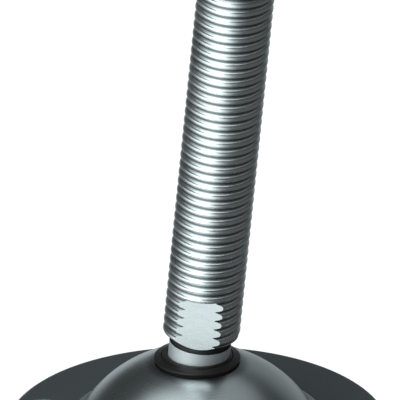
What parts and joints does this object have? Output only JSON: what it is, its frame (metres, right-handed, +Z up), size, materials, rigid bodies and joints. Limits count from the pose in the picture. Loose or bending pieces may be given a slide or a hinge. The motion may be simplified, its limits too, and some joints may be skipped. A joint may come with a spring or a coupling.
{
  "type": "furniture leveling foot",
  "caption": "Swivel leveling foot: threaded steel stud with wrench flats and lock nut, ball-jointed in a round rubber base under a steel dome cover.",
  "frame": {"origin": "centre of the underside of the base, on the floor", "axes": "+Z up, +X to the side that the stud leans to, -Y to the front"},
  "size_m": [0.08, 0.08, 0.148],
  "materials": {
    "stud_steel": "bright zinc-plated, rolled thread",
    "cover_steel": "satin polished pressed steel",
    "plain_steel": "as rolled",
    "zinc_steel": "zinc-plated",
    "seal_rubber": "smooth moulded",
    "base_rubber": "fine moulded grain",
    "bearing_plastic": "moulded acetal"
  },
  "bodies": {
    "base": {"base_pad": "base_rubber", "support_plate": "plain_steel", "dome_cover": "cover_steel", "seal_ring": "seal_rubber", "retaining_ring": "plain_steel", "sleeve_left": "zinc_steel", "sleeve_right": "zinc_steel"},
    "cup": {"ball_cup": "bearing_plastic"},
    "wiper": {"neck_wiper": "seal_rubber"},
    "stud": {"threaded_stud": "stud_steel"},
    "washer": {"washer": "zinc_steel"},
    "nut": {"lock_nut": "zinc_steel"}
  },
  "joints": [
    {"name": "cup_swivel", "type": "hinge", "parent": "base", "child": "cup", "pos_m": [0, 0, 0.022], "axis": [0, 0, 1], "continuous": true},
    {"name": "stud_tilt", "type": "hinge", "parent": "cup", "child": "wiper", "pos_m": [0, 0, 0.022], "axis": [0.4772, 0.8788, 0], "range_deg": [-5.9, 6.1]},
    {"name": "stud_spin", "type": "hinge", "parent": "wiper", "child": "stud", "pos_m": [0, 0, 0.022], "axis": [0.0903, -0.049, 0.9947], "continuous": true},
    {"name": "washer_slide", "type": "slide", "parent": "stud", "child": "washer", "axis": [0.0903, -0.049, 0.9947], "range_m": [-0.074, 0.012]},
    {"name": "nut_turn", "type": "hinge", "parent": "washer", "child": "nut", "pos_m": [0.00903, -0.0049, 0.12147], "axis": [0.0903, -0.049, 0.9947], "range_deg": [-13321, 2161]}
  ],
  "couplings": [
    {"joint": "nut_turn", "follows": "washer_slide", "rad_per_m": 3141.6}
  ]
}
